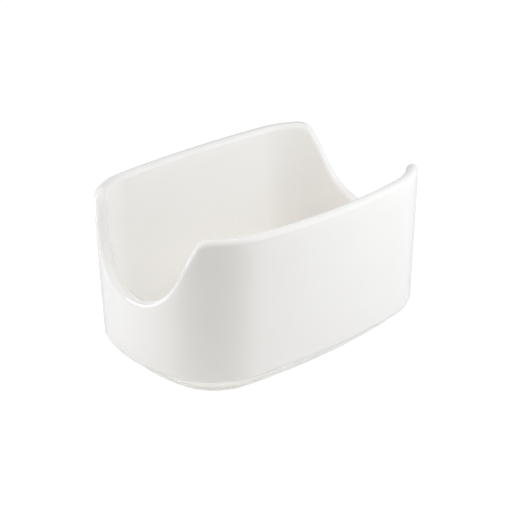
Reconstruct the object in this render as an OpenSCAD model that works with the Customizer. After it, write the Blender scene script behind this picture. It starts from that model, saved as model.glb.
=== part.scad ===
// Sugar packet holder: a glazed porcelain tub with scooped ends, standing on a low foot ring.
// Millimetres, +Z up, the table at z = 0 and the middle of the base at the origin.

/* [Tub] */

// Length of the plan of the rim, over the two bowed ends
length = 110; // [90:1:140]
// Width of the plan of the rim, over the two bowed sides
width = 74.5; // [62:0.5:100]
// Height of the rim at the corners
height = 55.6; // [42:0.1:80]
// Radius of the corners in plan
corner_r = 26; // [18:0.5:26.5]
// Bow of each long side in plan
side_bow = 1.8; // [0.6:0.1:6]
// Bow of each end in plan
end_bow = 1.1; // [0.5:0.1:2]
// Lean of the walls from upright, in degrees
draft = 1.5; // [0:0.1:4]
// Thickness of the walls, glaze included
wall = 4; // [3.2:0.1:6]
// Radius of the two edges of the lip
lip_r = 1.9; // [0.8:0.1:1.9]
// How much lower the rim is at the middle of a long side than at the corners
rim_dip = 0.7; // [0:0.1:3]

/* [Finger scoops] */

// Height of the lowest point of a scoop above the table
sill_h = 28.9; // [20:0.1:36]
// How far the tops of a scoop stay inside the long sides
scoop_margin = 7.75; // [5:0.25:10]
// Radius of the bottom of a scoop
scoop_r = 22; // [15:0.5:23]
// Radius where the flanks of a scoop turn into the rim
shoulder_r = 5.1; // [3:0.1:6]

/* [Floor and foot] */

// Thickness of the floor, glaze included
floor_t = 3.8; // [3:0.1:7]
// Radius between the floor and the walls inside
floor_r = 3; // [2:0.5:8]
// Radius of the edge where the walls turn under
edge_r = 2.4; // [1.2:0.1:6]
// Slope of the underside between that edge and the foot ring, in degrees from upright
under_slope = 52; // [35:1:65]
// Radius of the cove between that slope and the foot ring
cove_r = 0.6; // [0.4:0.1:0.9]
// How far the foot ring is set in from the foot of the wall
foot_inset = 6.4; // [4:0.1:9]
// Height of the foot ring, up to where the slope would meet it
foot_h = 1.8; // [1.1:0.1:3]
// Width of the foot ring, glaze included
foot_w = 3; // [2.2:0.1:4.5]
// Chamfer on the bare edges of the foot ring
foot_chamfer = 0.4; // [0.2:0.1:0.6]
// Height of the glazed recess under the floor
recess_h = 2.4; // [1.6:0.1:4]
// Radius inside the recess, between the foot ring and the floor
recess_r = 0.8; // [0.4:0.1:1]

/* [Glaze] */

// Thickness of the glaze
glaze = 0.3; // [0.15:0.05:0.5]
// Height of the bare band that is wiped clean round the foot ring
bare_h = 0.7; // [0.65:0.05:0.85]

/* [Hidden] */

// Facets of each stretch of a quarter of the rim
scoop_steps = 7;
flank_steps = 2;
shoulder_steps = 4;
corner_steps = 4;
side_steps = 3;
// Facets of each rounding in the wall's section
lip_steps = 4;
floor_steps = 4;
edge_steps = 3;
cove_steps = 2;
recess_steps = 3;

degrees_per_radian = 180 / PI;
// Step for measuring the slope of the rim
slope_step = 0.01;
// How far the foot is left long before it is ground flat
grind = 0.2;
// Largest share of the width that a corner takes, so that the ends stay flatter than the corners
corner_share = 0.356;
// Largest share of half a scoop that its roundings take, so that the flanks lean outward
scoop_share = 0.96;
// Largest share of the wall that one edge of the lip takes
lip_share = 0.48;

// Plan of the rim: one side, one corner and half an end are arcs that run into each other
turn_r = min(corner_r, corner_share * width);
side_r = (pow(length / 2 - turn_r, 2) + pow(side_bow, 2)) / (2 * side_bow);
end_r = (pow(width / 2 - turn_r, 2) + pow(end_bow, 2)) / (2 * end_bow);
side_c = [0, width / 2 - side_r];
end_c = [length / 2 - end_r, 0];
hub_gap = norm(end_c - side_c);
hub_dir = (end_c - side_c) / hub_gap;
hub_along = (pow(hub_gap, 2) + pow(side_r - turn_r, 2) - pow(end_r - turn_r, 2)) / (2 * hub_gap);
hub_across = sqrt(pow(side_r - turn_r, 2) - pow(hub_along, 2));
corner_c = side_c + hub_along * hub_dir + hub_across * [hub_dir.y, -hub_dir.x];
end_turn = atan2(corner_c.y, corner_c.x - end_c.x);
side_turn = atan2(corner_c.y - side_c.y, corner_c.x);
end_len = end_r * end_turn / degrees_per_radian;
corner_len = turn_r * (side_turn - end_turn) / degrees_per_radian;
side_len = side_r * (90 - side_turn) / degrees_per_radian;

// Scoop: a bottom arc, straight flanks and shoulder arcs, at the crest of the lip
scoop_half = width / 2 - scoop_margin;
scoop_depth = height - sill_h;
bottom_r = min(scoop_r, scoop_share * scoop_half - shoulder_r);
scoop_swing = bottom_r + shoulder_r;
flank_turn = asin(scoop_swing / norm([scoop_half, scoop_swing - scoop_depth]))
    - atan2(scoop_swing - scoop_depth, scoop_half);
// The same at the foot of the lip's rounded edges
rim_r = min(lip_r, lip_share * wall);
lip_bottom_r = bottom_r + rim_r;
lip_shoulder_r = shoulder_r - rim_r;
flank_start = lip_bottom_r * sin(flank_turn);
flank_end = scoop_half - lip_shoulder_r * sin(flank_turn);
shoulder_x = spot(arc_at(scoop_half), 0).x;

// Section of the base, as insets from the plan of the rim and heights
under_run = (foot_inset - edge_r * (cos(draft) - cos(under_slope))) / sin(under_slope);
wall_foot_z = foot_h + under_run * cos(under_slope) + edge_r * (sin(under_slope) - sin(draft));
edge_c = [lean(wall_foot_z) + edge_r * cos(draft), wall_foot_z + edge_r * sin(draft)];
foot_out = lean(wall_foot_z) + foot_inset;
foot_in = foot_out + foot_w;
cove_c = [foot_out - cove_r, foot_h - cove_r * tan(under_slope / 2)];
recess_c = [foot_in + recess_r, recess_h - recess_r];
floor_z = recess_h + floor_t;
floor_c_z = floor_z + floor_r;
floor_c = [lean(floor_c_z - floor_r * sin(draft)) + wall + floor_r * cos(draft), floor_c_z];

// Inset of the outside of the wall at a height
function lean(z) = (height - z) * tan(draft);

// Angle, arc centre and arc radius of the plan at a run along it from the middle of an end
function turn_at(s) =
    s < end_len ? s / end_r * degrees_per_radian
    : s < end_len + corner_len ? end_turn + (s - end_len) / turn_r * degrees_per_radian
    : side_turn + (s - end_len - corner_len) / side_r * degrees_per_radian;
function hub_at(s) = s < end_len ? end_c : s < end_len + corner_len ? corner_c : side_c;
function radius_at(s) = s < end_len ? end_r : s < end_len + corner_len ? turn_r : side_r;

// Plan point at a run along the rim, set in square to it
function spot(s, inset) = hub_at(s) + (radius_at(s) - inset) * [cos(turn_at(s)), sin(turn_at(s))];

// Run along the plan of the rim to a distance from the middle of an end
function arc_at(y) =
    y < end_r * sin(end_turn) ? end_r * asin(y / end_r) / degrees_per_radian
    : end_len + turn_r * (asin((y - corner_c.y) / turn_r) - end_turn) / degrees_per_radian;

// Height of the rim before the scoops are taken out
function crown(x) = height - rim_dip * (1 - min(1, pow(x / shoulder_x, 2)));

// Drop from there to the foot of the lip's rounded edges
function drop(y) =
    y < flank_start ? scoop_depth - bottom_r + sqrt(pow(lip_bottom_r, 2) - pow(y, 2))
    : y < flank_end
        ? scoop_depth - bottom_r + lip_bottom_r * cos(flank_turn) - (y - flank_start) * tan(flank_turn)
    : y < scoop_half ? shoulder_r - sqrt(pow(lip_shoulder_r, 2) - pow(scoop_half - y, 2))
    : rim_r;

// Height and slope of that line
function ridge(s) = crown(spot(s, 0).x) - drop(abs(spot(s, 0).y));
function slope(s) = atan((ridge(s + slope_step) - ridge(s - slope_step)) / (2 * slope_step));

// Runs along a quarter of the rim, from the middle of an end to the middle of a side
stations = concat(
    [for (i = [0 : scoop_steps - 1]) arc_at(lip_bottom_r * sin(flank_turn * i / scoop_steps))],
    [for (i = [0 : flank_steps - 1]) arc_at(flank_start + (flank_end - flank_start) * i / flank_steps)],
    [for (i = [0 : shoulder_steps - 1])
        arc_at(scoop_half - lip_shoulder_r * sin(flank_turn * (1 - i / shoulder_steps)))],
    [for (i = [0 : corner_steps - 1])
        arc_at(scoop_half) + (end_len + corner_len - arc_at(scoop_half)) * i / corner_steps],
    [for (i = [0 : side_steps]) end_len + corner_len + side_len * i / side_steps]);
last = len(stations) - 1;
// The whole way round, each as a run and the signs of its quarter
loop = concat(
    [for (i = [0 : last - 1]) [stations[i], 1, 1]],
    [for (i = [last : -1 : 1]) [stations[i], -1, 1]],
    [for (i = [0 : last - 1]) [stations[i], -1, -1]],
    [for (i = [last : -1 : 1]) [stations[i], 1, -1]]);

// Point on the plan of one quarter, at an inset and a height
function place(p, s, inset, z) = let (q = spot(s, inset)) [p[1] * q.x, p[2] * q.y, z];

// Level ring at an inset and a height
function ring(section) = [for (p = loop) place(p, p[0], section.x, section.y)];

// Ring along the lip, at an offset through the wall and a rise square to the rim
function lip_ring(section) = [for (p = loop)
    let (a = slope(p[0]), z = ridge(p[0]) + section.y * cos(a))
    place(p, p[0] - section.y * sin(a), lean(z) + section.x, z)];

// Sections of the finished surface, or of the surface that lies a skin below it
function arc(c, r, from, to, steps) = [for (i = [0 : steps])
    let (a = from + (to - from) * i / steps) c + r * [cos(a), sin(a)]];
function reversed(v) = [for (i = [len(v) - 1 : -1 : 0]) v[i]];
function base_section(skin) = concat(
    [[foot_out + skin, bare_h]],
    arc(cove_c, cove_r + skin, 0, under_slope, cove_steps),
    arc(edge_c, edge_r - skin, 180 + under_slope, 180 + draft, edge_steps));
function lip_section(skin) = concat(
    arc([rim_r, 0], rim_r - skin, 180, 90, lip_steps),
    arc([wall - rim_r, 0], rim_r - skin, 90, 0, lip_steps));
function floor_section(skin) = arc(floor_c, floor_r + skin, 180 + draft, 270, floor_steps);
function recess_section(skin) = concat(
    reversed(arc(recess_c, recess_r + skin, 180, 90, recess_steps)),
    [[foot_in - skin, bare_h]]);

// Rings from the glaze line on the foot, up the outside, over the lip and down to the floor
function tub_rings(skin) = concat(
    [for (q = base_section(skin)) ring(q)],
    [for (q = lip_section(skin)) lip_ring(q)],
    [for (q = floor_section(skin)) ring(q)]);
// Rings from the recess under the floor down to the glaze line inside the foot
function recess_rings(skin) = [for (q = recess_section(skin)) ring(q)];
// Rings of the bare foot, left long for grinding
function foot_rings() = [
    ring([foot_in - glaze, foot_chamfer]),
    ring([foot_in - glaze - foot_chamfer - grind, -grind]),
    ring([foot_out + glaze + foot_chamfer + grind, -grind]),
    ring([foot_out + glaze, foot_chamfer])];

// Middle of the floor and of the recess
function floor_middle(skin) = [0, 0, floor_z - skin];
function recess_middle(skin) = [0, 0, recess_h + skin];

// Solid between two points, wrapped in rings
module wrap(first, rings, final) {
    n = len(loop);
    top = 1 + n * len(rings);
    points = concat([first], [for (r = rings) each r], [final]);
    function at(row, i) = 1 + row * n + i % n;
    faces = concat(
        [for (i = [0 : n - 1]) [0, at(0, i), at(0, i + 1)]],
        [for (row = [0 : len(rings) - 2], i = [0 : n - 1]) each [
            [at(row, i), at(row + 1, i), at(row + 1, i + 1)],
            [at(row, i), at(row + 1, i + 1), at(row, i + 1)]]],
        [for (i = [0 : n - 1]) [at(len(rings) - 1, i), top, at(len(rings) - 1, i + 1)]]);
    polyhedron(points, faces);
}

// Fired body: floor, walls, lip and foot ring in one, with the foot ground flat
module porcelain_body() {
    color([0.93, 0.9, 0.85])
        difference() {
            wrap(recess_middle(glaze),
                concat(recess_rings(glaze), foot_rings(), tub_rings(glaze)),
                floor_middle(glaze));
            translate([-length, -width, -2 * grind])
                cube([2 * length, 2 * width, 2 * grind]);
        }
}

// Glaze over the outside, the lip and the whole inside
module glaze_coat() {
    color([0.97, 0.97, 0.96])
        wrap(floor_middle(glaze), concat(reversed(tub_rings(glaze)), tub_rings(0)), floor_middle(0));
}

// Glaze in the recess under the floor
module base_glaze() {
    color([0.97, 0.97, 0.96])
        wrap(recess_middle(0), concat(recess_rings(0), reversed(recess_rings(glaze))), recess_middle(glaze));
}

porcelain_body();
glaze_coat();
base_glaze();
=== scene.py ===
"""Dressed model of a sugar packet holder: a glazed porcelain tub with a finger scoop in each end.

The section of the wall is drawn at the middle of one end, spun round a quarter of the plan, dipped along
the scoop and mirrored. This makes the fired body, the glaze over it and the glaze under its floor.
Sizes of the tub are in millimetres, those of the studio in metres.
"""

import logging
import math
from abc import ABC, abstractmethod
from dataclasses import dataclass, field
from enum import Enum
from functools import cached_property
from typing import Callable

import bmesh
import bpy
from mathutils import Matrix, Vector

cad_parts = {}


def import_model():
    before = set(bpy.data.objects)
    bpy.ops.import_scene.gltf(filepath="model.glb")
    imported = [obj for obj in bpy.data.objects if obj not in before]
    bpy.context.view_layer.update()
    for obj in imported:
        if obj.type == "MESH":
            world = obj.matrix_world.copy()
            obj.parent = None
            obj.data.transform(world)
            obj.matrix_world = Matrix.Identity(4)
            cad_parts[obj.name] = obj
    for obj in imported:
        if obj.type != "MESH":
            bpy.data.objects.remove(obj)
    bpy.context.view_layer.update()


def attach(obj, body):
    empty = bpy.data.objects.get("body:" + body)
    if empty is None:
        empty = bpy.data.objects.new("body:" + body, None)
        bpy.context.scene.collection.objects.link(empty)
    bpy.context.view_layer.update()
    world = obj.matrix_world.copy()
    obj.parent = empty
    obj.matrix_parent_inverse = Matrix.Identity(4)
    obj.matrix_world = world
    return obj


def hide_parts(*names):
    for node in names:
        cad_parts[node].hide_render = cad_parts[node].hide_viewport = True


LOG = logging.getLogger("sugar_packet_holder")
MM = 0.001
# Tolerances: for doubles, for seams and levels, and for the points of one column
MERGE_GAP = 0.001 * MM
LEVEL_GAP = 0.01 * MM
COLUMN_GAP = 0.02 * MM

Colour = tuple[float, float, float]
Span = tuple[float, float]
UNIT: Span = (0.0, 1.0)
WHITE = (1.0, 1.0, 1.0, 1.0)
# A point of the wall's section: its inset from the plan of the rim and its height
Spot = tuple[float, float]
# Scale, detail and roughness of a noise pattern
Noise = tuple[float, float, float]
Socket = bpy.types.NodeSocket
Material = bpy.types.Material
Object = bpy.types.Object


class Axis(Enum):
    """Axis that a selection is turned about."""

    X = "X"
    Z = "Z"


class MeshPart(Enum):
    """Parts of a mesh that are picked."""

    POINT = "VERT"
    EDGE = "EDGE"


class Surface(Enum):
    """Which of the wall's two surfaces a section follows."""

    GLAZED = "glazed"
    FIRED = "fired"


class Attribute(Enum):
    """Values that the finishes read from a mesh."""

    # Thinner glaze over the lip, and painted shade on the lip's top
    THIN = "glaze_thin"
    POOLED = "glaze_pooled"


class Ramp(Enum):
    """Ways of a value between the ends of its range."""

    STRAIGHT = "LINEAR"
    SMOOTH = "SMOOTHSTEP"


def arc_spots(centre: Spot, radius: float, start: float, end: float, steps: int) -> list[Spot]:
    """Points along an arc of the section.

    Args:
        centre: Centre of the arc.
        radius: Radius of the arc.
        start: Angle of the first point, in radians.
        end: Angle of the last point, in radians.
        steps: Number of chords.

    Returns:
        The points, from start to end.
    """
    turns = [start + (end - start) * i / steps for i in range(steps + 1)]
    return [(centre[0] + radius * math.cos(a), centre[1] + radius * math.sin(a)) for a in turns]


def smooth_step(value: float, low: float, high: float) -> float:
    """Smooth change from 0 at low to 1 at high."""
    share = min(max((value - low) / (high - low), 0.0), 1.0)
    return share * share * (3.0 - 2.0 * share)


@dataclass(frozen=True)
class Arc:
    """One arc of the plan of the rim.

    Attributes:
        centre: Centre of the arc.
        radius: Radius at the rim.
        start: Angle where it starts, in radians.
        end: Angle where it ends, in radians.
    """

    centre: tuple[float, float]
    radius: float
    start: float
    end: float

    @property
    def run(self) -> float:
        """Length along the arc."""
        return self.radius * (self.end - self.start)


@dataclass(frozen=True)
class Station:
    """One place along the plan of the rim.

    Attributes:
        arc: The arc that it lies on.
        turn: Its angle on that arc, in radians.
    """

    arc: Arc
    turn: float

    @property
    def outward(self) -> Vector:
        """Direction square to the rim, away from the tub."""
        return Vector((math.cos(self.turn), math.sin(self.turn), 0.0))

    def point(self, inset: float, height: float) -> Vector:
        """Place in the scene of a section point at this station.

        Args:
            inset: Distance inside the plan of the rim.
            height: Height above the table.

        Returns:
            The point, in metres.
        """
        reach = self.arc.radius - inset
        x = self.arc.centre[0] + reach * math.cos(self.turn)
        y = self.arc.centre[1] + reach * math.sin(self.turn)
        return Vector((x, y, height)) * MM


@dataclass
class RimPlan:
    """Plan of the rim: half an end, a corner and half a side are arcs that run into each other.

    Attributes:
        length: Length over the two bowed ends.
        width: Width over the two bowed sides.
        corner_r: Radius of the corners.
        side_bow: Bow of each long side.
        end_bow: Bow of each end.
    """

    length: float = 110.0
    width: float = 74.5
    corner_r: float = 26.0
    side_bow: float = 1.8
    end_bow: float = 1.1

    @cached_property
    def arcs(self) -> tuple[Arc, Arc, Arc]:
        """Arcs of one quarter.

        Returns:
            The end, the corner and the side, from the middle of an end.
        """
        side_r = ((self.length / 2 - self.corner_r) ** 2 + self.side_bow**2) / (2 * self.side_bow)
        end_r = ((self.width / 2 - self.corner_r) ** 2 + self.end_bow**2) / (2 * self.end_bow)
        side_c = Vector((0.0, self.width / 2 - side_r))
        end_c = Vector((self.length / 2 - end_r, 0.0))
        gap = (end_c - side_c).length
        towards = (end_c - side_c) / gap
        reach = side_r - self.corner_r
        along = (gap**2 + reach**2 - (end_r - self.corner_r) ** 2) / (2 * gap)
        across = math.sqrt(reach**2 - along**2)
        corner_c = side_c + towards * along + Vector((towards.y, -towards.x)) * across
        end_turn = math.atan2(corner_c.y, corner_c.x - end_c.x)
        side_turn = math.atan2(corner_c.y - side_c.y, corner_c.x)
        return (
            Arc(tuple(end_c), end_r, 0.0, end_turn),
            Arc(tuple(corner_c), self.corner_r, end_turn, side_turn),
            Arc(tuple(side_c), side_r, side_turn, math.pi / 2),
        )

    def at_run(self, run: float) -> Station:
        """Station at a length along the plan.

        Args:
            run: Length from the middle of an end.

        Returns:
            The station, in one quarter.
        """
        end, corner, side = self.arcs
        if run < end.run:
            return Station(end, run / end.radius)
        if run < end.run + corner.run:
            return Station(corner, corner.start + (run - end.run) / corner.radius)
        return Station(side, side.start + (run - end.run - corner.run) / side.radius)

    def run_to(self, aside: float) -> float:
        """Length along the plan to a distance from the middle line of an end.

        Args:
            aside: The distance.

        Returns:
            The length from the middle of that end.
        """
        end, corner, _ = self.arcs
        if aside < end.radius * math.sin(end.end):
            return end.radius * math.asin(aside / end.radius)
        turn = math.asin((aside - corner.centre[1]) / corner.radius)
        return end.run + corner.radius * (turn - corner.start)

    def run_beside(self, point: Vector) -> float:
        """Length along the plan to the station that a point of the tub belongs to.

        Args:
            point: The point, in metres, in any quarter.

        Returns:
            The length, in millimetres, folded into one quarter.
        """
        end, corner, side = self.arcs
        x, y = abs(point.x) / MM, abs(point.y) / MM
        turn = math.atan2(y - corner.centre[1], x - corner.centre[0])
        if turn < corner.start:
            return end.radius * math.atan2(y, x - end.centre[0])
        if turn < corner.end:
            return end.run + corner.radius * (turn - corner.start)
        turn = math.atan2(y - side.centre[1], x - side.centre[0])
        return end.run + corner.run + side.radius * (turn - side.start)


@dataclass
class FingerScoop:
    """Dip in the rim at an end: a bottom arc, straight flanks and shoulder arcs, at the crest of the lip.

    Attributes:
        half: Half of the width between its tops.
        depth: Depth below the rim.
        bottom_r: Radius of the bottom.
        shoulder_r: Radius where the flanks turn into the rim.
        lip_r: Depth of the lip's foot below the crest.
    """

    half: float
    depth: float
    bottom_r: float
    shoulder_r: float
    lip_r: float

    @cached_property
    def flank_turn(self) -> float:
        """Slope of the flanks, in radians."""
        swing, rise = self.bottom_r + self.shoulder_r, self.bottom_r + self.shoulder_r - self.depth
        return math.asin(swing / math.hypot(self.half, rise)) - math.atan2(rise, self.half)

    @property
    def flank_start(self) -> float:
        """Distance from the middle where the bottom arc ends, at the foot of the lip."""
        return (self.bottom_r + self.lip_r) * math.sin(self.flank_turn)

    @property
    def flank_end(self) -> float:
        """Distance from the middle where the shoulder starts, at the foot of the lip."""
        return self.half - (self.shoulder_r - self.lip_r) * math.sin(self.flank_turn)

    def drop(self, aside: float) -> float:
        """Drop from the rim to the foot of the lip.

        Args:
            aside: Distance from the middle.

        Returns:
            The drop there.
        """
        foot_r = self.bottom_r + self.lip_r
        if aside < self.flank_start:
            return self.depth - self.bottom_r + math.sqrt(foot_r**2 - aside**2)
        if aside < self.flank_end:
            fall = (aside - self.flank_start) * math.tan(self.flank_turn)
            return self.depth - self.bottom_r + foot_r * math.cos(self.flank_turn) - fall
        if aside < self.half:
            turn_r = self.shoulder_r - self.lip_r
            return self.shoulder_r - math.sqrt(turn_r**2 - (self.half - aside) ** 2)
        return self.lip_r


@dataclass
class TubForm:
    """Shape of the whole tub, which its three pieces share.

    Attributes:
        plan: Plan of the rim.
        height: Height of the rim at the corners.
        draft: Lean of the walls, in degrees.
        wall: Thickness of the walls, glaze included.
        lip_r: Radius of the lip's two edges.
        rim_dip: How much lower the rim is at the middle of a long side.
        sill_h: Height of the lowest point of a scoop.
        scoop_margin: How far a scoop's tops stay inside the long sides.
        scoop_r: Radius of the bottom of a scoop.
        shoulder_r: Radius where a scoop's flanks turn into the rim.
        floor_t: Thickness of the floor, glaze included.
        floor_r: Radius between the floor and the walls.
        edge_r: Radius where the walls turn under.
        under_slope: Slope of the underside, in degrees from upright.
        cove_r: Radius between that slope and the foot ring.
        foot_inset: How far the foot ring is set in from the foot of the wall.
        foot_h: Height of the foot ring.
        foot_w: Width of the foot ring, glaze included.
        foot_chamfer: Chamfer on the bare edges of the foot ring.
        recess_h: Height of the recess under the floor.
        recess_r: Radius inside the recess.
        glaze: Thickness of the glaze.
        bare_h: Height of the bare band round the foot ring.
    """

    plan: RimPlan = field(default_factory=RimPlan)
    height: float = 55.6
    draft: float = 1.5
    wall: float = 4.0
    lip_r: float = 1.9
    rim_dip: float = 0.7
    sill_h: float = 28.9
    scoop_margin: float = 7.75
    scoop_r: float = 22.0
    shoulder_r: float = 5.1
    floor_t: float = 3.8
    floor_r: float = 3.0
    edge_r: float = 2.4
    under_slope: float = 52.0
    cove_r: float = 0.6
    foot_inset: float = 6.4
    foot_h: float = 1.8
    foot_w: float = 3.0
    foot_chamfer: float = 0.4
    recess_h: float = 2.4
    recess_r: float = 0.8
    glaze: float = 0.3
    bare_h: float = 0.7

    # Numbers of chords in the parts of the section
    COVE_STEPS, UNDER_STEPS, EDGE_STEPS = 4, 4, 6
    LIP_STEPS, FLOOR_STEPS, RECESS_STEPS = 6, 8, 5
    # Places of the points across the flat of the foot ring, as shares of its width
    FOOT_SHARES = (0.0, 0.15, 0.5, 0.85, 1.0)

    @cached_property
    def scoop(self) -> FingerScoop:
        """The dip in each end."""
        half, depth = self.plan.width / 2 - self.scoop_margin, self.height - self.sill_h
        return FingerScoop(half, depth, self.scoop_r, self.shoulder_r, self.lip_r)

    @property
    def lip_foot_z(self) -> float:
        """Height of the foot of the lip's rounded edges, away from the scoops."""
        return self.height - self.lip_r

    @property
    def floor_z(self) -> float:
        """Height of the finished floor."""
        return self.recess_h + self.floor_t

    @cached_property
    def wall_foot_z(self) -> float:
        """Height where the outside of the wall starts to turn under.

        Returns:
            The height.
        """
        slope, draft = math.radians(self.under_slope), math.radians(self.draft)
        run = (self.foot_inset - self.edge_r * (math.cos(draft) - math.cos(slope))) / math.sin(slope)
        return self.foot_h + run * math.cos(slope) + self.edge_r * (math.sin(slope) - math.sin(draft))

    @property
    def foot_out(self) -> float:
        """Inset of the outer side of the foot ring."""
        return self.lean(self.wall_foot_z) + self.foot_inset

    @property
    def foot_in(self) -> float:
        """Inset of the inner side of the foot ring."""
        return self.foot_out + self.foot_w

    @cached_property
    def shoulder_x(self) -> float:
        """Distance along the tub where the tops of the scoops lie."""
        return self.plan.at_run(self.plan.run_to(self.scoop.half)).point(0.0, 0.0).x / MM

    def depth_of(self, surface: Surface) -> float:
        """Depth of a surface below the finished one."""
        return 0.0 if surface is Surface.GLAZED else self.glaze

    def lean(self, height: float) -> float:
        """Inset of the outside of the wall at a height."""
        return (self.height - height) * math.tan(math.radians(self.draft))

    def ridge(self, run: float) -> float:
        """Height of the foot of the lip.

        Args:
            run: Length along the plan.

        Returns:
            The height there.
        """
        place = self.plan.at_run(run).point(0.0, 0.0) / MM
        dip = self.rim_dip * (1.0 - min(1.0, (place.x / self.shoulder_x) ** 2))
        return self.height - dip - self.scoop.drop(abs(place.y))

    def slope(self, run: float, step: float = 0.01) -> float:
        """Slope of the rim at a length along the plan, in radians."""
        return math.atan((self.ridge(run + step) - self.ridge(run - step)) / (2 * step))

    def base_section(self, surface: Surface) -> list[Spot]:
        """Section from the glaze line on the foot up to the foot of the wall.

        Args:
            surface: Surface to follow.

        Returns:
            The points, upwards.
        """
        skin, steps = self.depth_of(surface), self.UNDER_STEPS
        slope, draft = math.radians(self.under_slope), math.radians(self.draft)
        cove_c = (self.foot_out - self.cove_r, self.foot_h - self.cove_r * math.tan(slope / 2))
        edge_c = (
            self.lean(self.wall_foot_z) + self.edge_r * math.cos(draft),
            self.wall_foot_z + self.edge_r * math.sin(draft),
        )
        cove = arc_spots(cove_c, self.cove_r + skin, 0.0, slope, self.COVE_STEPS)
        edge = arc_spots(edge_c, self.edge_r - skin, math.pi + slope, math.pi + draft, self.EDGE_STEPS)
        (low_x, low_z), (high_x, high_z) = cove[-1], edge[0]
        under = [
            (low_x + (high_x - low_x) * i / steps, low_z + (high_z - low_z) * i / steps)
            for i in range(1, steps)
        ]
        return [(self.foot_out + skin, self.bare_h), *cove, *under, *edge]

    def lip_section(self, surface: Surface) -> list[Spot]:
        """Section over the lip, away from the scoops.

        Args:
            surface: Surface to follow.

        Returns:
            The points, from outside to inside.
        """
        radius, steps = self.lip_r - self.depth_of(surface), self.LIP_STEPS
        outer = arc_spots((self.lip_r, 0.0), radius, math.pi, math.pi / 2, steps)
        inner = arc_spots((self.wall - self.lip_r, 0.0), radius, math.pi / 2, 0.0, steps)
        return [
            (self.lean(self.lip_foot_z + rise) + through, self.lip_foot_z + rise)
            for through, rise in [*outer, *inner]
        ]

    def floor_section(self, surface: Surface) -> list[Spot]:
        """Section from the foot of the inside wall to the edge of the flat floor.

        Args:
            surface: Surface to follow.

        Returns:
            The points, downwards.
        """
        draft = math.radians(self.draft)
        centre_z = self.floor_z + self.floor_r
        wall_in = self.lean(centre_z - self.floor_r * math.sin(draft)) + self.wall
        centre = (wall_in + self.floor_r * math.cos(draft), centre_z)
        radius = self.floor_r + self.depth_of(surface)
        return arc_spots(centre, radius, math.pi + draft, 1.5 * math.pi, self.FLOOR_STEPS)

    def tub_section(self, surface: Surface) -> list[Spot]:
        """Section from the glaze line on the foot, over the lip and down to the floor."""
        return [*self.base_section(surface), *self.lip_section(surface), *self.floor_section(surface)]

    def recess_section(self, surface: Surface) -> list[Spot]:
        """Section from the edge of the recess's flat ceiling to the glaze line inside the foot.

        Args:
            surface: Surface to follow.

        Returns:
            The points, downwards.
        """
        skin = self.depth_of(surface)
        centre = (self.foot_in + self.recess_r, self.recess_h - self.recess_r)
        bend = arc_spots(centre, self.recess_r + skin, math.pi / 2, math.pi, self.RECESS_STEPS)
        return [*bend, (self.foot_in - skin, self.bare_h)]

    def foot_section(self) -> list[Spot]:
        """Section across the bare foot ring.

        Returns:
            The points, from inside to outside.
        """
        inner, outer = self.foot_in - self.glaze, self.foot_out + self.glaze
        flat_in, flat_out = inner - self.foot_chamfer, outer + self.foot_chamfer
        flat = [(flat_in + (flat_out - flat_in) * share, 0.0) for share in self.FOOT_SHARES]
        return [(inner, self.foot_chamfer), *flat, (outer, self.foot_chamfer)]


@dataclass(frozen=True)
class SpinPitch:
    """Largest spacing of the stations in each stretch of a quarter.

    Attributes:
        bottom: Along the bottom of the scoop.
        flank: Along its flank.
        shoulder: Round its shoulder.
        corner: Along the rest of the corner.
        side: Along the side.
    """

    bottom: float = 1.6
    flank: float = 0.9
    shoulder: float = 0.5
    corner: float = 1.7
    side: float = 3.5


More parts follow.
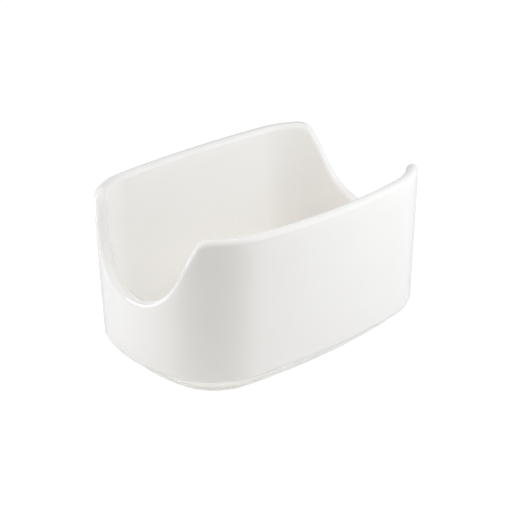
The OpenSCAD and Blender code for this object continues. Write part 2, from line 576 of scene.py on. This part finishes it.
class Bench:
    """Edit-mode work on one new mesh, in the way that it is done by hand."""

    # Share of a ring that the narrow band of a cap takes
    BAND = 0.06
    # Shares of a ring's length, width and height that fold it onto the middle line
    FOLD = (0.4, 0.0, 1.0)
    # Levels of subdivision
    LEVELS = 1

    def __init__(self, name: str, first: Vector) -> None:
        """Starts a mesh from a small plane that is merged into one point.

        Args:
            name: Name of the new piece.
            first: Place of the point, in metres.
        """
        bpy.ops.object.select_all(action="DESELECT")
        bpy.ops.mesh.primitive_plane_add(size=MM, location=first)
        self.piece: Object = bpy.context.object
        self.piece.name = name
        self.piece.data.name = name
        bpy.ops.object.transform_apply(location=True, rotation=True, scale=True)
        bpy.ops.object.mode_set(mode="EDIT")
        bpy.ops.mesh.select_mode(type="VERT")
        bpy.ops.mesh.select_all(action="SELECT")
        bpy.ops.mesh.merge(type="CENTER")

    def draw(self, points: list[Vector]) -> None:
        """Extrudes the last point along a line of points and leaves the whole line selected.

        Args:
            points: The line, from the point that is there already.
        """
        for last, point in zip(points, points[1:]):
            bpy.ops.mesh.extrude_vertices_move(TRANSFORM_OT_translate={"value": point - last})
        bpy.ops.mesh.select_all(action="SELECT")

    def spin(self, arc: Arc, sweep: float, steps: int) -> None:
        """Spins the selected line about an upright axis and leaves its last copy selected.

        Args:
            arc: The arc of the plan that gives the axis.
            sweep: Angle to spin through, in radians.
            steps: Number of copies.
        """
        centre = Vector((arc.centre[0], arc.centre[1], 0.0)) * MM
        bpy.ops.mesh.spin(steps=steps, angle=-sweep, center=centre, axis=(0.0, 0.0, 1.0))

    def pick(self, part: MeshPart, test: Callable[..., bool]) -> None:
        """Selects points or edges.

        Args:
            part: Which of the two.
            test: True for one that is wanted.
        """
        bpy.ops.mesh.select_mode(type=part.value)
        bpy.ops.mesh.select_all(action="DESELECT")
        mesh = bmesh.from_edit_mesh(self.piece.data)
        for item in mesh.verts if part is MeshPart.POINT else mesh.edges:
            item.select_set(test(item))
        bmesh.update_edit_mesh(self.piece.data)

    def shift(self, move: Vector) -> None:
        """Moves the selection."""
        bpy.ops.transform.translate(value=move)

    def turn(self, angle: float, axis: Axis, centre: Vector) -> None:
        """Turns the selection by the right-hand rule about an axis through a point."""
        bpy.ops.transform.rotate(value=-angle, orient_axis=axis.value, center_override=centre)

    def mirror(self) -> None:
        """Mirrors the quarter into the whole and closes its seams."""
        bpy.ops.object.mode_set(mode="OBJECT")
        bpy.ops.object.modifier_add(type="MIRROR")
        mirror = self.piece.modifiers[-1]
        mirror.use_axis = (True, True, False)
        mirror.use_mirror_merge = True
        mirror.merge_threshold = LEVEL_GAP
        bpy.ops.object.modifier_apply(modifier=mirror.name)
        bpy.ops.object.mode_set(mode="EDIT")

    def cap(self, height: float) -> None:
        """Closes the open ring at a height with a narrow band and strips that meet on the middle line.

        Args:
            height: Height of the ring, in millimetres.
        """
        level = height * MM
        middle = Vector((0.0, 0.0, level))

        def in_ring(edge: bmesh.types.BMEdge) -> bool:
            """True for an edge of the open ring."""
            return edge.is_boundary and all(abs(vert.co.z - level) < LEVEL_GAP for vert in edge.verts)

        self.pick(MeshPart.EDGE, in_ring)
        for share in ((1.0 - self.BAND, 1.0 - self.BAND, 1.0), self.FOLD):
            bpy.ops.mesh.extrude_edges_move()
            bpy.ops.transform.resize(value=share, center_override=middle)

    def finish(self) -> Object:
        """Closes and smooths the piece.

        Returns:
            The finished object, at the origin.
        """
        bpy.ops.mesh.select_mode(type="VERT")
        bpy.ops.mesh.select_all(action="SELECT")
        bpy.ops.mesh.remove_doubles(threshold=MERGE_GAP)
        bpy.ops.mesh.normals_make_consistent(inside=False)
        bpy.ops.object.mode_set(mode="OBJECT")
        bpy.ops.object.modifier_add(type="SUBSURF")
        subdivision = self.piece.modifiers[-1]
        subdivision.levels = self.LEVELS
        subdivision.render_levels = self.LEVELS
        bpy.ops.object.modifier_apply(modifier=subdivision.name)
        bpy.ops.object.shade_smooth()
        return self.piece


class NodeBoard:
    """Shader nodes of one tree, added and linked by name of socket."""

    # Numbers of the mix node's colour sockets
    MIXED = (6, 7)
    MIX = 2

    def __init__(self, owner: Material | bpy.types.World) -> None:
        """Starts the nodes of a material or a world."""
        owner.use_nodes = True
        self.tree = owner.node_tree

    def add(self, kind: str, links: dict[str | int, Socket], **values: object) -> bpy.types.Node:
        """Adds a node.

        Args:
            kind: Blender's name of the node type.
            links: Sockets to link, by name or number of the new node's input.
            **values: Inputs, by name with underscores for spaces, or the node's own settings.

        Returns:
            The new node.
        """
        node = self.tree.nodes.new(kind)
        for key, value in values.items():
            socket = key.replace("_", " ")
            if socket in node.inputs:
                node.inputs[socket].default_value = value
            else:
                setattr(node, key, value)
        for key, source in links.items():
            self.tree.links.new(source, node.inputs[key])
        return node

    def blend(self, share: Socket, first: Socket | Colour, second: Socket | Colour) -> Socket:
        """Mixes two colours, each a socket or a plain colour.

        Args:
            share: Socket with the share of the second.
            first: Colour at a share of 0.
            second: Colour at a share of 1.

        Returns:
            The socket with the mixed colour.
        """
        node = self.add("ShaderNodeMix", {"Factor": share}, data_type="RGBA")
        for key, colour in zip(self.MIXED, (first, second)):
            if isinstance(colour, Socket):
                self.tree.links.new(colour, node.inputs[key])
            else:
                node.inputs[key].default_value = (*colour, 1.0)
        return node.outputs[self.MIX]

    def spread(self, source: Socket, span: Span, result: Span, ramp: Ramp = Ramp.STRAIGHT) -> Socket:
        """Maps a value from one range to another, held at both ends.

        Args:
            source: Socket with the value.
            span: Values at the two ends.
            result: Results at the two ends.
            ramp: The way between them.

        Returns:
            The socket with the result.
        """
        ends = dict(From_Min=span[0], From_Max=span[1], To_Min=result[0], To_Max=result[1])
        node = self.add("ShaderNodeMapRange", {"Value": source}, interpolation_type=ramp.value, **ends)
        return node.outputs["Result"]

    def by_ray(self, plain: Socket, seen: Socket, mirrored: Socket) -> Socket:
        """Shader that goes by the kind of ray.

        Args:
            plain: Shader that lights the object.
            seen: Shader that the camera sees.
            mirrored: Shader that shows in reflections and through glass.

        Returns:
            The socket with the shader.
        """
        paths = self.add("ShaderNodeLightPath", {})
        looks = {"Is Camera Ray": seen, "Is Glossy Ray": mirrored, "Is Transmission Ray": mirrored}
        shader = plain
        for ray, look in looks.items():
            mix = self.add("ShaderNodeMixShader", {0: paths.outputs[ray], 1: shader, 2: look})
            shader = mix.outputs[0]
        return shader


class FinishBoard(NodeBoard):
    """Nodes of one finish, which lead to a principled shader."""

    def __init__(self, name: str) -> None:
        """Starts a material that holds only a principled shader and its output.

        Args:
            name: Name of the material.
        """
        self.material = bpy.data.materials.new(name)
        super().__init__(self.material)
        self.shader = next(n for n in self.tree.nodes if n.type == "BSDF_PRINCIPLED")
        self.place = self.add("ShaderNodeTexCoord", {}).outputs["Object"]

    def noise(self, pattern: Noise) -> Socket:
        """Socket with a noise pattern over the object."""
        settings = dict(zip(("Scale", "Detail", "Roughness"), pattern))
        return self.add("ShaderNodeTexNoise", {"Vector": self.place}, **settings).outputs["Fac"]

    def bump(self, links: dict[str | int, Socket], distance: float, strength: float = 1.0) -> Socket:
        """Socket with the direction of the surface with its bumps."""
        return self.add("ShaderNodeBump", links, Strength=strength, Distance=distance).outputs["Normal"]

    def dress(self, colour: Socket, roughness: Socket, normal: Socket, ior: float) -> Material:
        """Links the results to the shader.

        Args:
            colour: Socket with the colour.
            roughness: Socket with the roughness.
            normal: Socket with the direction of the surface.
            ior: Index of refraction.

        Returns:
            The finished material.
        """
        for key, source in (("Base Color", colour), ("Roughness", roughness), ("Normal", normal)):
            self.tree.links.new(source, self.shader.inputs[key])
        self.shader.inputs["IOR"].default_value = ior
        return self.material


@dataclass(frozen=True)
class GlazeFinish:
    """White gloss glaze: faintly clouded, greyer where it is thinner over the lip or pooled in the cove,
    and darker over the lip as painted shade on its top.

    Attributes:
        name: Name of the material.
        colour: Main colour.
        cloud_colour: Colour of the faint clouds in it.
        thin_and_shade_colour: Colour where the glaze is thinner over the lip, darkened as painted shade on
            the lip's top.
        thin_and_shade_share: Greatest share of that colour.
        pooled_colour: Colour where it has pooled.
        thin_and_shade_share: Greatest share of the thin colour.
        pooled_share: Greatest share of the pooled colour.
        cloud: Pattern of the clouds.
        cloud_span: Values of it where the clouds start and are full.
        gloss_span: Values of it that give the least and the greatest roughness.
        gloss: Least and greatest roughness.
        wave: Pattern of the slow waves of the surface.
        wave_height: Height of the waves, in metres.
        peel: Pattern of its fine ripple.
        peel_height: Height of the ripple, in metres.
        ior: Index of refraction.
    """

    name: str = "white_gloss_glaze"
    colour: Colour = (0.9, 0.884, 0.855)
    cloud_colour: Colour = (0.894, 0.875, 0.841)
    # Colour over the lip: thinner glaze, darkened further as painted shade on the lip's top
    thin_and_shade_colour: Colour = (0.79, 0.78, 0.762)
    pooled_colour: Colour = (0.885, 0.873, 0.85)
    thin_and_shade_share: float = 0.7
    pooled_share: float = 0.8
    cloud: Noise = (70.0, 3.0, 0.55)
    cloud_span: Span = (0.35, 0.7)
    gloss_span: Span = (0.3, 0.7)
    gloss: Span = (0.07, 0.11)
    wave: Noise = (48.0, 1.0, 0.4)
    wave_height: float = 0.00008
    peel: Noise = (900.0, 2.0, 0.5)
    peel_height: float = 0.0000006
    ior: float = 1.58

    def material(self) -> Material:
        """Builds the material.

        Returns:
            The finished material.
        """
        board = FinishBoard(self.name)
        cloud, wave, peel = (board.noise(pattern) for pattern in (self.cloud, self.wave, self.peel))
        tint = board.blend(board.spread(cloud, self.cloud_span, UNIT), self.colour, self.cloud_colour)
        # The colour over the lip is thinner glaze and painted shade on the lip's top
        for mark, share, colour in (
            (Attribute.THIN, self.thin_and_shade_share, self.thin_and_shade_colour),
            (Attribute.POOLED, self.pooled_share, self.pooled_colour),
        ):
            amount = board.add("ShaderNodeAttribute", {}, attribute_name=mark.value).outputs["Fac"]
            tint = board.blend(board.spread(amount, UNIT, (0.0, share)), tint, colour)
        gloss = board.spread(cloud, self.gloss_span, self.gloss)
        waves = board.bump({"Height": wave}, self.wave_height)
        ripple = board.bump({"Height": peel, "Normal": waves}, self.peel_height)
        return board.dress(tint, gloss, ripple, self.ior)


@dataclass(frozen=True)
class BareFinish:
    """Bare fired porcelain of the foot: matt, fine-grained and a little grey where it is ground.

    Attributes:
        name: Name of the material.
        colour: Main colour.
        worn_colour: Colour of the ground and rubbed places.
        patch: Pattern of those places.
        patch_span: Values of it where they start and are full.
        grain: Pattern of the grain.
        grain_span: Values of it that give the least and the greatest roughness.
        rough: Least and greatest roughness.
        grain_height: Height of the grain, in metres.
        grain_strength: Strength of the grain's bumps.
        ior: Index of refraction.
    """

    name: str = "bare_porcelain"
    colour: Colour = (0.87, 0.855, 0.825)
    worn_colour: Colour = (0.8, 0.783, 0.75)
    patch: Noise = (160.0, 5.0, 0.65)
    patch_span: Span = (0.4, 0.72)
    grain: Noise = (2600.0, 3.0, 0.6)
    grain_span: Span = (0.3, 0.7)
    rough: Span = (0.62, 0.88)
    grain_height: float = 0.00002
    grain_strength: float = 0.8
    ior: float = 1.5

    def material(self) -> Material:
        """Builds the material.

        Returns:
            The finished material.
        """
        board = FinishBoard(self.name)
        patch, grain = board.noise(self.patch), board.noise(self.grain)
        tint = board.blend(board.spread(patch, self.patch_span, UNIT), self.colour, self.worn_colour)
        rough = board.spread(grain, self.grain_span, self.rough)
        normal = board.bump({"Height": grain}, self.grain_height, self.grain_strength)
        return board.dress(tint, rough, normal, self.ior)


@dataclass
class TubPiece(ABC):
    """One piece of the tub, spun from its own section.

    Attributes:
        form: Shape of the tub.
        material: Material that dresses it.
        pitch: Spacing of the stations.
    """

    form: TubForm
    material: Material
    pitch: SpinPitch = SpinPitch()

    # Name of the piece, the node that it replaces and its slot
    name = ""
    node = ""
    slot = ""
    # Least rise of an edge up the wall, in metres, and the number of cuts across it
    WALL_EDGE = 6 * MM
    WALL_CUTS = 7
    # Depths below the crest of the lip where the glaze starts to get thinner and where it is thinnest,
    # which also bound the painted shade on the lip's top
    THIN_AND_SHADE_DEPTHS = (2.2, 0.3)
    # Depth below the foot of the wall where the glaze starts to pool
    POOL_DEPTH = 1.5

    @abstractmethod
    def section(self) -> list[Spot]:
        """Line of the section that is spun."""

    @abstractmethod
    def cap_heights(self) -> list[float]:
        """Heights of the open rings that are filled."""

    def stretches(self) -> list[tuple[float, float, int]]:
        """Stretches of the quarter that have one spacing each.

        Returns:
            For each the runs where it starts and ends, and its number of steps.
        """
        plan, scoop = self.form.plan, self.form.scoop
        end, corner, side = plan.arcs
        marks = [
            (plan.run_to(scoop.flank_start), self.pitch.bottom),
            (plan.run_to(scoop.flank_end), self.pitch.flank),
            (plan.run_to(scoop.half), self.pitch.shoulder),
            (end.run + corner.run, self.pitch.corner),
            (end.run + corner.run + side.run, self.pitch.side),
        ]
        breaks = sorted({0.0, end.run, *(mark for mark, _ in marks)})
        found = []
        for start, stop in zip(breaks, breaks[1:]):
            pitch = next(p for mark, p in marks if mark >= stop)
            found.append((start, stop, max(1, math.ceil((stop - start) / pitch))))
        return found

    def dip(self, bench: Bench, run: float) -> None:
        """Lowers the lip at one station to the rim's height there and tilts it square to the rim.

        Args:
            bench: The mesh in work.
            run: Length along the plan to the station.
        """
        form = self.form
        station = form.plan.at_run(run)
        centre = Vector((station.arc.centre[0], station.arc.centre[1], 0.0)) * MM
        outward = station.outward
        along = Vector((-outward.y, outward.x, 0.0))
        low = form.lip_foot_z * MM - LEVEL_GAP

        def in_column(vert: bmesh.types.BMVert) -> bool:
            """True for a point of the lip at this station."""
            reach = vert.co - centre
            return vert.co.z > low and abs(reach.dot(along)) < COLUMN_GAP and reach.dot(outward) > 0.0

        bench.pick(MeshPart.POINT, in_column)
        fall = (form.ridge(run) - form.lip_foot_z) * MM
        bench.shift(Vector((0.0, 0.0, fall)) + outward * fall * math.tan(math.radians(form.draft)))
        hinge = station.point(form.lean(form.ridge(run)), form.ridge(run))
        for angle, axis in ((-station.turn, Axis.Z), (form.slope(run), Axis.X), (station.turn, Axis.Z)):
            bench.turn(angle, axis, hinge)

    def model(self) -> Object:
        """Models the piece: draw, spin, dip, divide, mirror, cap and smooth.

        Returns:
            The finished object, without a material.
        """
        plan = self.form.plan
        first = plan.at_run(0.0)
        points = [first.point(inset, height) for inset, height in self.section()]
        bench = Bench(self.name, points[0])
        bench.draw(points)
        runs = [0.0]
        for start, stop, steps in self.stretches():
            arc = plan.at_run((start + stop) / 2).arc
            bench.spin(arc, (stop - start) / arc.radius, steps)
            runs += [start + (stop - start) * (i + 1) / steps for i in range(steps)]
        if max(height for _, height in self.section()) > self.form.lip_foot_z:
            for run in runs:
                self.dip(bench, run)
            bench.pick(MeshPart.EDGE, lambda e: abs(e.verts[0].co.z - e.verts[1].co.z) > self.WALL_EDGE)
            bpy.ops.mesh.subdivide(number_cuts=self.WALL_CUTS)
        bench.mirror()
        for height in self.cap_heights():
            bench.cap(height)
        return bench.finish()

    def mark_glaze(self, piece: Object) -> None:
        """Writes where the glaze is thinner over the lip, with painted shade on the lip's top, and where it
        has pooled, for the finish to read.

        Args:
            piece: The modelled object.
        """
        form, mesh = self.form, piece.data
        thin_and_shade = mesh.attributes.new(Attribute.THIN.value, "FLOAT", "POINT")
        pooled = mesh.attributes.new(Attribute.POOLED.value, "FLOAT", "POINT")
        start, full = self.THIN_AND_SHADE_DEPTHS
        pool_z = form.wall_foot_z - self.POOL_DEPTH
        for vert in mesh.vertices:
            height = vert.co.z / MM
            crest = form.ridge(form.plan.run_beside(vert.co)) + form.lip_r
            # Thinner glaze and painted shade on the lip's top, growing towards the crest
            thin_and_shade.data[vert.index].value = smooth_step(height, crest - start, crest - full)
            pooled.data[vert.index].value = smooth_step(height, pool_z, form.foot_h)

    def build(self) -> Object:
        """Models and dresses the piece and sets it in the frame.

        Returns:
            The finished object.
        """
        piece = self.model()
        self.mark_glaze(piece)
        piece.data.materials.clear()
        piece.data.materials.append(self.material)
        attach(piece, "root")
        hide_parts(self.node)
        LOG.info("%s: %d faces", piece.name, len(piece.data.polygons))
        return piece


@dataclass
class PorcelainBody(TubPiece):
    """Fired body: floor, walls, lip and foot ring in one, bare only round the foot."""

    name = "fired_body"
    node = "porcelain_body"
    slot = "porcelain"

    def section(self) -> list[Spot]:
        """Line from the recess under the floor, round the foot and over the lip to the floor."""
        form = self.form
        return [*form.recess_section(Surface.FIRED), *form.foot_section(), *form.tub_section(Surface.FIRED)]

    def cap_heights(self) -> list[float]:
        """Heights of the recess's ceiling and of the floor, under their glaze."""
        return [self.form.recess_h + self.form.glaze, self.form.floor_z - self.form.glaze]


@dataclass
class GlazeCoat(TubPiece):
    """Glaze over the outside, the lip and the whole inside."""

    name = "glaze_over_tub"
    node = "glaze_coat"
    slot = "glaze"

    def section(self) -> list[Spot]:
        """Line along the finished surface to the foot and back along the body."""
        form = self.form
        return [*reversed(form.tub_section(Surface.GLAZED)), *form.tub_section(Surface.FIRED)]

    def cap_heights(self) -> list[float]:
        """Heights of the glaze's upper and lower side on the floor."""
        return [self.form.floor_z, self.form.floor_z - self.form.glaze]


@dataclass
class BaseGlaze(TubPiece):
    """Glaze in the recess under the floor."""

    name = "glaze_under_floor"
    node = "base_glaze"
    slot = "glaze"

    def section(self) -> list[Spot]:
        """Line along the finished surface to the foot and back along the body."""
        form = self.form
        return [*form.recess_section(Surface.GLAZED), *reversed(form.recess_section(Surface.FIRED))]

    def cap_heights(self) -> list[float]:
        """Heights of the glaze's lower and upper side in the recess."""
        return [self.form.recess_h, self.form.recess_h + self.form.glaze]


@dataclass(frozen=True)
class Softbox:
    """One soft lamp, placed by its bearing from the camera and aimed at the object.

    Attributes:
        name: Name of the lamp.
        bearing: Angle from the camera round the object, positive to its right, in degrees.
        reach: Distance from the middle of the object, along the floor, in metres.
        height: Height of its middle, in metres.
        width: Width, in metres.
        tall: Height of its face, in metres.
        watts: Power.
        colour: Colour of its light.
        shows: Whether its face shows in reflections.
    """

    name: str
    bearing: float
    reach: float
    height: float
    width: float
    tall: float
    watts: float
    colour: Colour = (1.0, 1.0, 1.0)
    shows: bool = False


@dataclass
class Studio:
    """Camera, lamps, world and floor.

    Attributes:
        bearing: Bearing of the camera, in degrees.
        elevation: Elevation of the camera, in degrees.
        distance: Distance from the target, in metres.
        scale: Pixels to a millimetre at the target.
        target: Point that the camera looks at, in metres.
        roll: Roll of the camera, in degrees.
        image: Width of the photograph, in pixels.
        sensor: Width of the camera's sensor, in millimetres.
        near: Distance from which the camera sees, in metres.
        ambient: Strength of the light from all round.
        ceiling: How bright the studio looks overhead, beside a white backdrop.
        sky_fade: Sines of the elevations between which the backdrop turns into the ceiling.
        floor_size: Length of the floor's sides, in metres.
        floor_colour: Colour of the floor.
        floor_look: How bright the floor looks at the object before the lamps, beside white.
        floor_shade: Share of the lamps' light on the floor that the camera sees, with the shadow in it.
        floor_fade: Distances between which the floor's look goes to white, in metres.
        table_glow: How bright the light table shines up under the object.
        table_half: Half sizes of its lit field, in metres.
        table_fade: Fourth powers of the distance, in half sizes, between which the glow fades out.
        mirrored: How bright the floor and the backdrop look in reflections, beside white.
        softboxes: The lamps.
    """

    bearing: float = -40.9929
    elevation: float = 25.4118
    distance: float = 0.52492
    scale: float = 3.0054
    target: Vector = field(default_factory=lambda: Vector((-0.001637, 0.0, 0.027149)))
    roll: float = -0.7953
    image: float = 512.0
    sensor: float = 36.0
    near: float = 0.01
    ambient: float = 0.03
    ceiling: float = 0.05
    sky_fade: Span = (0.1, 0.45)
    floor_size: float = 6.0
    floor_colour: Colour = (0.835, 0.83, 0.82)
    floor_look: float = 0.96
    floor_shade: float = 0.12
    floor_fade: Span = (0.1, 0.3)
    table_glow: float = 0.52
    table_half: Span = (0.050, 0.0343)
    table_fade: Span = (0.75, 1.6)
    mirrored: float = 0.72
    softboxes: tuple[Softbox, ...] = (
        Softbox("left_near", -68.0, 0.20, 0.25, 0.18, 0.18, 0.469, (1.0, 0.983, 0.975)),
        Softbox("left_low", -60.0, 0.25, 0.08, 0.15, 0.12, 0.096, (0.942, 0.972, 1.0)),
        Softbox("left_strip", -98.0, 0.35, 0.13, 0.07, 0.25, 0.32, (0.75, 0.84, 1.0), shows=True),
        Softbox("right_near", 62.0, 0.20, 0.25, 0.20, 0.16, 0.512, (1.0, 0.99, 0.975)),
        Softbox("right_far", 77.0, 0.45, 0.20, 0.50, 0.46, 0.74, (0.74, 0.84, 1.0), shows=True),
        Softbox("right_back", 105.0, 0.40, 0.25, 0.30, 0.30, 0.52, (0.934, 0.961, 1.0)),
        Softbox("front_fill", 0.0, 0.40, 0.15, 0.30, 0.28, 0.068, (1.0, 0.797, 0.429)),
    )

    @property
    def back(self) -> Vector:
        """Direction from the target to the camera."""
        return self.towards(0.0, self.elevation)

    def towards(self, bearing: float, elevation: float) -> Vector:
        """Direction from the target at a bearing from the camera and an elevation, in degrees."""
        turn, rise = math.radians(self.bearing + bearing), math.radians(elevation)
        return Vector((math.sin(turn) * math.cos(rise), -math.cos(turn) * math.cos(rise), math.sin(rise)))

    def add_camera(self) -> None:
        """Adds the camera at the photograph's view."""
        data = bpy.data.cameras.new("camera")
        camera = bpy.data.objects.new("camera", data)
        bpy.context.scene.collection.objects.link(camera)
        turn, roll = math.radians(self.bearing), math.radians(self.roll)
        level = Vector((math.cos(turn), math.sin(turn), 0.0))
        upright = self.back.cross(level)
        right = level * math.cos(roll) + upright * math.sin(roll)
        up = upright * math.cos(roll) - level * math.sin(roll)
        pose = Matrix((right, up, self.back)).transposed().to_4x4()
        pose.translation = self.target + self.back * self.distance
        camera.matrix_world = pose
        data.sensor_width = self.sensor
        data.lens = self.scale * (self.distance / MM) / self.image * self.sensor
        data.clip_start = self.near
        bpy.context.scene.camera = camera

    def add_softbox(self, box: Softbox) -> None:
        """Adds one lamp, facing the object.

        Args:
            box: The lamp.
        """
        data = bpy.data.lights.new(box.name, "AREA")
        data.shape = "RECTANGLE"
        data.size = box.width
        data.size_y = box.tall
        data.energy = box.watts
        data.color = box.colour
        lamp = bpy.data.objects.new(box.name, data)
        bpy.context.scene.collection.objects.link(lamp)
        lamp.location = self.towards(box.bearing, 0.0) * box.reach + Vector((0.0, 0.0, box.height))
        lamp.rotation_euler = (lamp.location - self.target).to_track_quat("Z", "Y").to_euler()
        lamp.visible_camera = False
        lamp.visible_glossy = box.shows

    def add_world(self) -> None:
        """Adds a little even light, a white backdrop and a look for reflections that is dim overhead."""
        world = bpy.data.worlds.new("studio")
        bpy.context.scene.world = world
        board = NodeBoard(world)
        board.tree.nodes.clear()
        place = board.add("ShaderNodeTexCoord", {}).outputs["Generated"]
        rise = board.add("ShaderNodeSeparateXYZ", {0: place}).outputs["Z"]
        look = board.spread(rise, self.sky_fade, (self.mirrored, self.ceiling), Ramp.SMOOTH)
        light = board.add("ShaderNodeBackground", {}, Color=WHITE, Strength=self.ambient)
        white = board.add("ShaderNodeBackground", {}, Color=WHITE, Strength=1.0)
        mirrored = board.add("ShaderNodeBackground", {"Strength": look}, Color=WHITE)
        shader = board.by_ray(light.outputs[0], white.outputs[0], mirrored.outputs[0])
        board.add("ShaderNodeOutputWorld", {"Surface": shader})

    def glow_under(self, board: NodeBoard, place: Socket) -> Socket:
        """Glow of the light table under the object, in a field with round corners.

        Args:
            board: Nodes to add to.
            place: Socket with the point on the floor.

        Returns:
            The socket with the shader.
        """
        scaled = board.add("ShaderNodeVectorMath", {0: place}, operation="MULTIPLY")
        scaled.inputs[1].default_value = (1.0 / self.table_half[0], 1.0 / self.table_half[1], 0.0)
        power = scaled.outputs[0]
        for _ in range(2):
            power = board.add("ShaderNodeVectorMath", {0: power, 1: power}, operation="MULTIPLY").outputs[0]
        total = board.add("ShaderNodeVectorMath", {0: power}, operation="DOT_PRODUCT")
        total.inputs[1].default_value = (1.0, 1.0, 0.0)
        look = board.spread(total.outputs["Value"], self.table_fade, (self.table_glow, 0.0), Ramp.SMOOTH)
        return board.add("ShaderNodeEmission", {"Strength": look}).outputs[0]

    def add_floor(self) -> Object:
        """Adds the floor: a white light table, lit softly under the object only.

        Returns:
            The floor.
        """
        bpy.ops.object.select_all(action="DESELECT")
        bpy.ops.mesh.primitive_plane_add(size=self.floor_size, location=(0.0, 0.0, 0.0))
        floor = bpy.context.object
        floor.name = "floor"
        material = bpy.data.materials.new("white_floor")
        material.cycles.emission_sampling = "NONE"
        board = NodeBoard(material)
        board.tree.nodes.clear()
        place = board.add("ShaderNodeTexCoord", {}).outputs["Object"]
        away = board.add("ShaderNodeVectorMath", {0: place}, operation="LENGTH").outputs["Value"]
        look = board.spread(away, self.floor_fade, (self.floor_look, 1.0), Ramp.SMOOTH)
        shaded = tuple(self.floor_shade * value for value in self.floor_colour)
        matt, shade = (
            board.add("ShaderNodeBsdfDiffuse", {}, Color=(*colour, 1.0)).outputs[0]
            for colour in (self.floor_colour, shaded)
        )
        white = board.add("ShaderNodeEmission", {"Strength": look}).outputs[0]
        mirrored = board.add("ShaderNodeEmission", {}, Strength=self.mirrored).outputs[0]
        lit = board.add("ShaderNodeAddShader", {0: matt, 1: self.glow_under(board, place)}).outputs[0]
        seen = board.add("ShaderNodeAddShader", {0: shade, 1: white}).outputs[0]
        board.add("ShaderNodeOutputMaterial", {"Surface": board.by_ray(lit, seen, mirrored)})
        floor.data.materials.append(material)
        return floor

    def build(self) -> None:
        """Sets up the whole studio."""
        bpy.context.scene.view_settings.view_transform = "Standard"
        self.add_world()
        for box in self.softboxes:
            self.add_softbox(box)
        self.add_floor()
        self.add_camera()


def main() -> None:
    """Builds the studio and the three pieces of the tub."""
    logging.basicConfig(level=logging.INFO, format="%(name)s: %(message)s")
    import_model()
    Studio().build()
    form = TubForm()
    glaze = GlazeFinish().material()
    bare = BareFinish().material()
    for piece in (PorcelainBody(form, bare), GlazeCoat(form, glaze), BaseGlaze(form, glaze)):
        piece.build()


if __name__ == "__main__":
    main()
